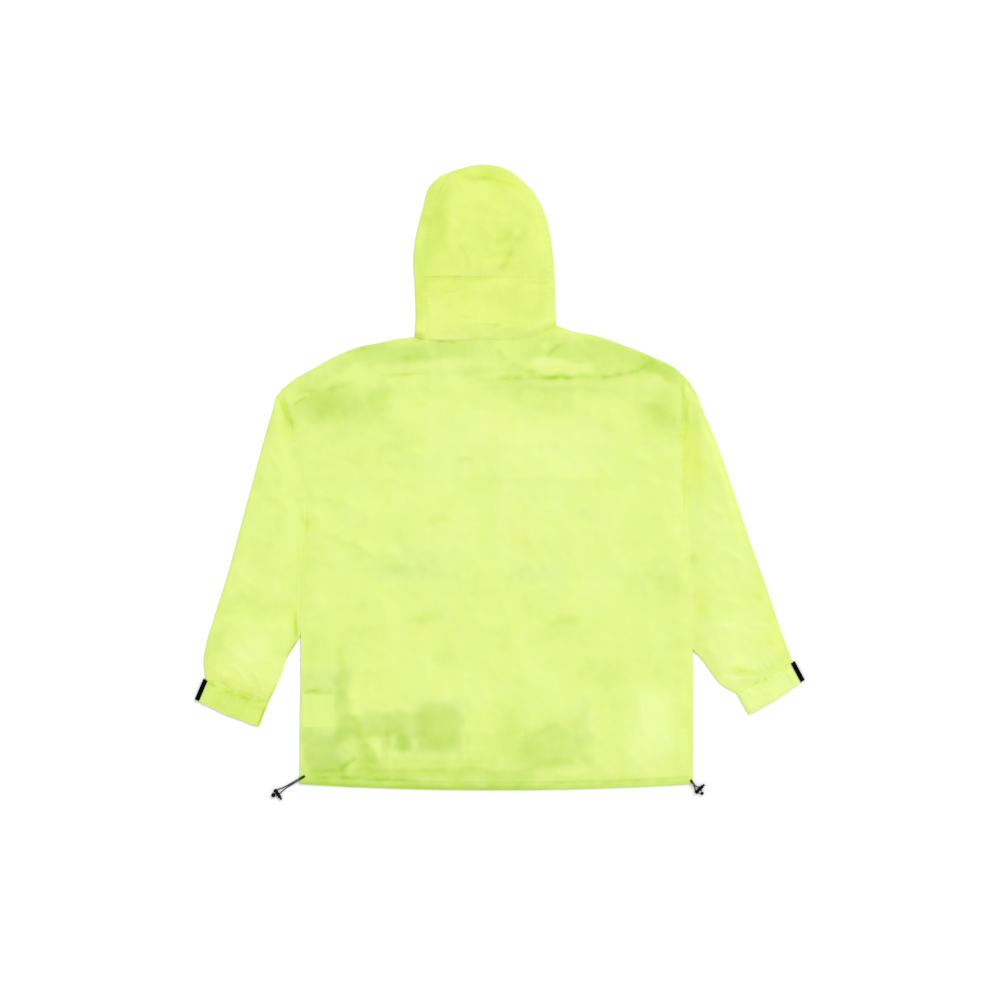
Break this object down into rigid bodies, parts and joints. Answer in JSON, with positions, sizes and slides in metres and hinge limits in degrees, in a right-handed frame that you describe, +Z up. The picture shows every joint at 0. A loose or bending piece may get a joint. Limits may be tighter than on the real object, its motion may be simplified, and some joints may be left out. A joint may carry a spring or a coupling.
{
  "type": "anorak pullover",
  "caption": "Hooded pull-on anorak in thin translucent nylon, laid flat with its back up, with gathered cuffs, webbing cuff tabs and a corded hem with sprung locks.",
  "frame": {"origin": "on the surface the garment lies on, under the middle of its box without the hem cords", "axes": "+Y from the hem to the hood, +X to the wearer's right (the back is up), +Z up"},
  "size_m": [1.0376, 1.0812, 0.0076],
  "materials": {
    "neon_nylon": "thin neon yellow plain-weave nylon, slightly sheer, soft sheen, fine crease lines",
    "black_webbing": "black ribbed webbing, matt",
    "black_cord": "black braided elastic cord",
    "black_plastic": "black moulded plastic, satin",
    "label_white": "off-white woven satin label, blank"
  },
  "bodies": {
    "garment": {"body_back": "neon_nylon", "body_front": "neon_nylon", "hem_tunnel_back": "neon_nylon", "hem_tunnel_front": "neon_nylon", "sleeve_left": "neon_nylon", "sleeve_right": "neon_nylon", "cuff_left": "neon_nylon", "cuff_right": "neon_nylon", "hood_crown_upper": "neon_nylon", "hood_crown_lower": "neon_nylon", "hood_collar_upper": "neon_nylon", "hood_collar_lower": "neon_nylon", "hood_brim_upper": "neon_nylon", "hood_brim_lower": "neon_nylon", "cuff_tab_left": "black_webbing", "cuff_tab_right": "black_webbing", "hem_cord_left_a": "black_cord", "hem_cord_left_b": "black_cord", "hem_cord_right_a": "black_cord", "hem_cord_right_b": "black_cord", "cord_lock_left": "black_plastic", "cord_lock_right": "black_plastic", "cord_end_left": "black_plastic", "cord_end_right": "black_plastic", "care_label": "label_white"},
    "plunger_left": {"lock_plunger_left": "black_plastic"},
    "plunger_right": {"lock_plunger_right": "black_plastic"}
  },
  "joints": [
    {"name": "press_left", "type": "slide", "parent": "garment", "child": "plunger_left", "axis": [0.549, -0.8358, 0], "range_m": [-0.0024, 0], "stiffness_N_per_m": 40},
    {"name": "press_right", "type": "slide", "parent": "garment", "child": "plunger_right", "axis": [0.7314, 0.682, 0], "range_m": [-0.0024, 0], "stiffness_N_per_m": 40}
  ]
}
